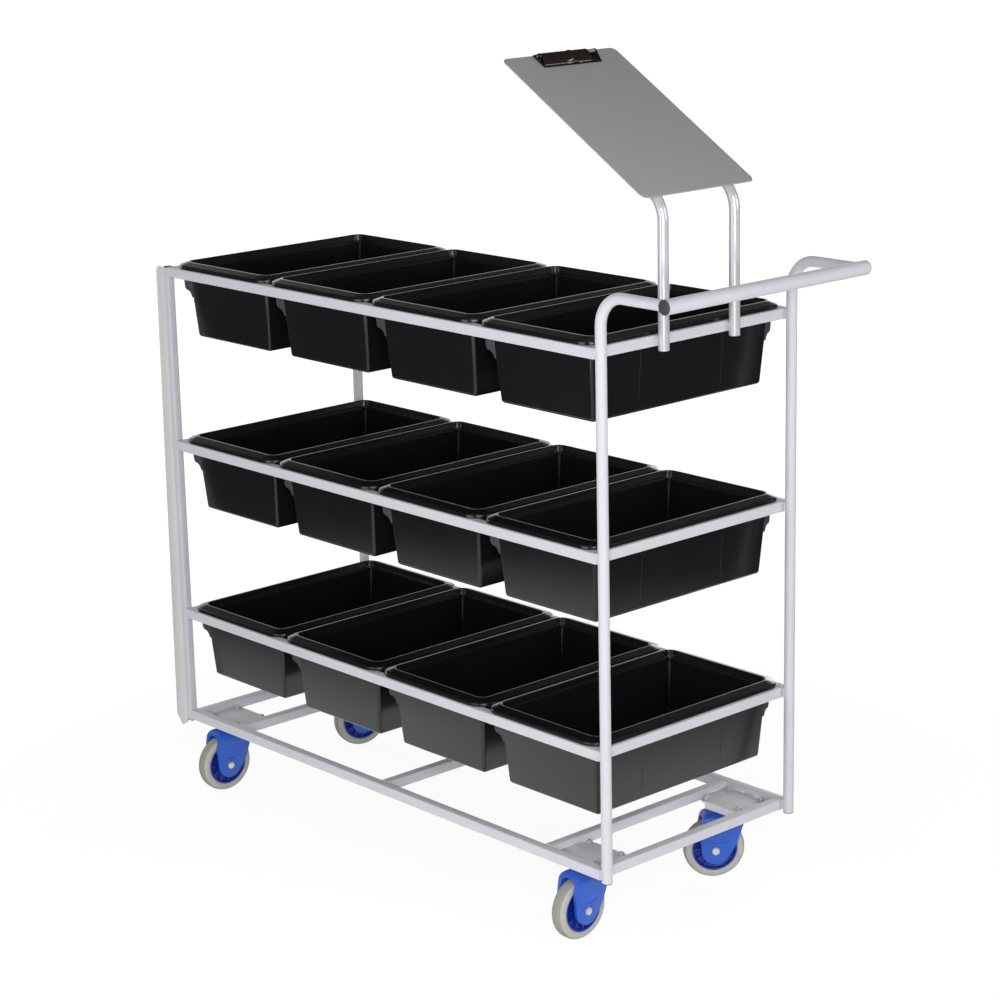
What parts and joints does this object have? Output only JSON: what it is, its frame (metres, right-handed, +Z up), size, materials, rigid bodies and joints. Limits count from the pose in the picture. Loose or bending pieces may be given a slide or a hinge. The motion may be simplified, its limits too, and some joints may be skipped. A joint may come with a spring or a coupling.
{
  "type": "order picking cart",
  "caption": "Order picking cart: welded tube frame with open tiers of lift-out black tubs, push handle, sloping clipboard and swivel castors.",
  "frame": {"origin": "on the floor, under the middle of the cart's overall plan", "axes": "+X along the cart towards the push handle, +Y across it, +Z up"},
  "size_m": [1.8724, 0.6888, 2.0013],
  "materials": {
    "powder_coat": "pale grey powder coat, low gloss",
    "plate_steel": "grey powder coat on folded sheet",
    "guard": "pale grey paint",
    "tub_plastic": "black moulded polypropylene with a soft sheen",
    "black_cap": "black moulded plastic",
    "board": "grey, fine texture",
    "clip": "dark nickel plating",
    "fork": "blue moulded nylon",
    "hub": "dark blue moulded nylon",
    "tyre": "grey rubber",
    "zinc": "bright zinc plating"
  },
  "bodies": {
    "cart_frame": {"base_frame": "powder_coat", "tier_frame_1": "powder_coat", "tier_frame_2": "powder_coat", "tier_frame_3": "powder_coat", "handle_post_left": "powder_coat", "handle_post_right": "powder_coat", "far_post_left": "powder_coat", "far_post_right": "powder_coat", "handle_bar": "powder_coat", "clipboard_tube_left": "powder_coat", "clipboard_tube_right": "powder_coat", "castor_plate_handle_left": "plate_steel", "castor_plate_handle_right": "plate_steel", "castor_plate_far_left": "plate_steel", "castor_plate_far_right": "plate_steel", "post_plug_left": "black_cap", "post_plug_right": "black_cap", "handle_cap_left": "black_cap", "handle_cap_right": "black_cap", "far_post_cap_left": "black_cap", "far_post_cap_right": "black_cap", "far_post_foot_left": "black_cap", "far_post_foot_right": "black_cap", "guard_strip": "guard", "clipboard_board": "board", "clip_base": "clip", "clip_pin": "zinc", "castor_handle_left_head": "zinc", "castor_handle_right_head": "zinc", "castor_far_left_head": "zinc", "castor_far_right_head": "zinc"},
    "swivel_handle_left": {"castor_handle_left_fork": "fork", "castor_handle_left_axle": "zinc"},
    "wheel_handle_left": {"castor_handle_left_hub": "hub", "castor_handle_left_tyre": "tyre"},
    "swivel_handle_right": {"castor_handle_right_fork": "fork", "castor_handle_right_axle": "zinc"},
    "wheel_handle_right": {"castor_handle_right_hub": "hub", "castor_handle_right_tyre": "tyre"},
    "swivel_far_left": {"castor_far_left_fork": "fork", "castor_far_left_axle": "zinc"},
    "wheel_far_left": {"castor_far_left_hub": "hub", "castor_far_left_tyre": "tyre"},
    "swivel_far_right": {"castor_far_right_fork": "fork", "castor_far_right_axle": "zinc"},
    "wheel_far_right": {"castor_far_right_hub": "hub", "castor_far_right_tyre": "tyre"},
    "tub_1_1": {"tub_1_1": "tub_plastic"},
    "tub_1_2": {"tub_1_2": "tub_plastic"},
    "tub_1_3": {"tub_1_3": "tub_plastic"},
    "tub_1_4": {"tub_1_4": "tub_plastic"},
    "tub_2_1": {"tub_2_1": "tub_plastic"},
    "tub_2_2": {"tub_2_2": "tub_plastic"},
    "tub_2_3": {"tub_2_3": "tub_plastic"},
    "tub_2_4": {"tub_2_4": "tub_plastic"},
    "tub_3_1": {"tub_3_1": "tub_plastic"},
    "tub_3_2": {"tub_3_2": "tub_plastic"},
    "tub_3_3": {"tub_3_3": "tub_plastic"},
    "tub_3_4": {"tub_3_4": "tub_plastic"},
    "clip_jaw": {"clip_lever": "clip"}
  },
  "joints": [
    {"name": "swivel_handle_left", "type": "hinge", "parent": "cart_frame", "child": "swivel_handle_left", "pos_m": [0.59888, -0.21914, 0.16975], "axis": [0, 0, 1], "continuous": true},
    {"name": "wheel_handle_left", "type": "hinge", "parent": "swivel_handle_left", "child": "wheel_handle_left", "pos_m": [0.59888, -0.26914, 0.075], "axis": [-1, 0, 0], "continuous": true},
    {"name": "swivel_handle_right", "type": "hinge", "parent": "cart_frame", "child": "swivel_handle_right", "pos_m": [0.59888, 0.25886, 0.16975], "axis": [0, 0, 1], "continuous": true},
    {"name": "wheel_handle_right", "type": "hinge", "parent": "swivel_handle_right", "child": "wheel_handle_right", "pos_m": [0.56878, 0.21893, 0.075], "axis": [-0.7986, 0.6018, 0], "continuous": true},
    {"name": "swivel_far_left", "type": "hinge", "parent": "cart_frame", "child": "swivel_far_left", "pos_m": [-0.76612, -0.21914, 0.16975], "axis": [0, 0, 1], "continuous": true},
    {"name": "wheel_far_left", "type": "hinge", "parent": "swivel_far_left", "child": "wheel_far_left", "pos_m": [-0.76961, -0.26902, 0.075], "axis": [-0.9976, 0.0698, 0], "continuous": true},
    {"name": "swivel_far_right", "type": "hinge", "parent": "cart_frame", "child": "swivel_far_right", "pos_m": [-0.76612, 0.25886, 0.16975], "axis": [0, 0, 1], "continuous": true},
    {"name": "wheel_far_right", "type": "hinge", "parent": "swivel_far_right", "child": "wheel_far_right", "pos_m": [-0.78074, 0.21104, 0.075], "axis": [-0.9563, 0.2924, 0], "continuous": true},
    {"name": "lift_tub_1_1", "type": "slide", "parent": "cart_frame", "child": "tub_1_1", "axis": [0, 0, 1], "range_m": [0, 0.2]},
    {"name": "lift_tub_1_2", "type": "slide", "parent": "cart_frame", "child": "tub_1_2", "axis": [0, 0, 1], "range_m": [0, 0.2]},
    {"name": "lift_tub_1_3", "type": "slide", "parent": "cart_frame", "child": "tub_1_3", "axis": [0, 0, 1], "range_m": [0, 0.2]},
    {"name": "lift_tub_1_4", "type": "slide", "parent": "cart_frame", "child": "tub_1_4", "axis": [0, 0, 1], "range_m": [0, 0.2]},
    {"name": "lift_tub_2_1", "type": "slide", "parent": "cart_frame", "child": "tub_2_1", "axis": [0, 0, 1], "range_m": [0, 0.2]},
    {"name": "lift_tub_2_2", "type": "slide", "parent": "cart_frame", "child": "tub_2_2", "axis": [0, 0, 1], "range_m": [0, 0.2]},
    {"name": "lift_tub_2_3", "type": "slide", "parent": "cart_frame", "child": "tub_2_3", "axis": [0, 0, 1], "range_m": [0, 0.2]},
    {"name": "lift_tub_2_4", "type": "slide", "parent": "cart_frame", "child": "tub_2_4", "axis": [0, 0, 1], "range_m": [0, 0.2]},
    {"name": "lift_tub_3_1", "type": "slide", "parent": "cart_frame", "child": "tub_3_1", "axis": [0, 0, 1], "range_m": [0, 0.2]},
    {"name": "lift_tub_3_2", "type": "slide", "parent": "cart_frame", "child": "tub_3_2", "axis": [0, 0, 1], "range_m": [0, 0.2]},
    {"name": "lift_tub_3_3", "type": "slide", "parent": "cart_frame", "child": "tub_3_3", "axis": [0, 0, 1], "range_m": [0, 0.2]},
    {"name": "lift_tub_3_4", "type": "slide", "parent": "cart_frame", "child": "tub_3_4", "axis": [0, 0, 1], "range_m": [0, 0.2]},
    {"name": "clip_jaw_hinge", "type": "hinge", "parent": "cart_frame", "child": "clip_jaw", "pos_m": [0.29051, 0.02786, 1.99262], "axis": [0, -1, 0], "range_deg": [0, 25], "stiffness_Nm_per_rad": 0.5, "springref_deg": -17.19}
  ]
}
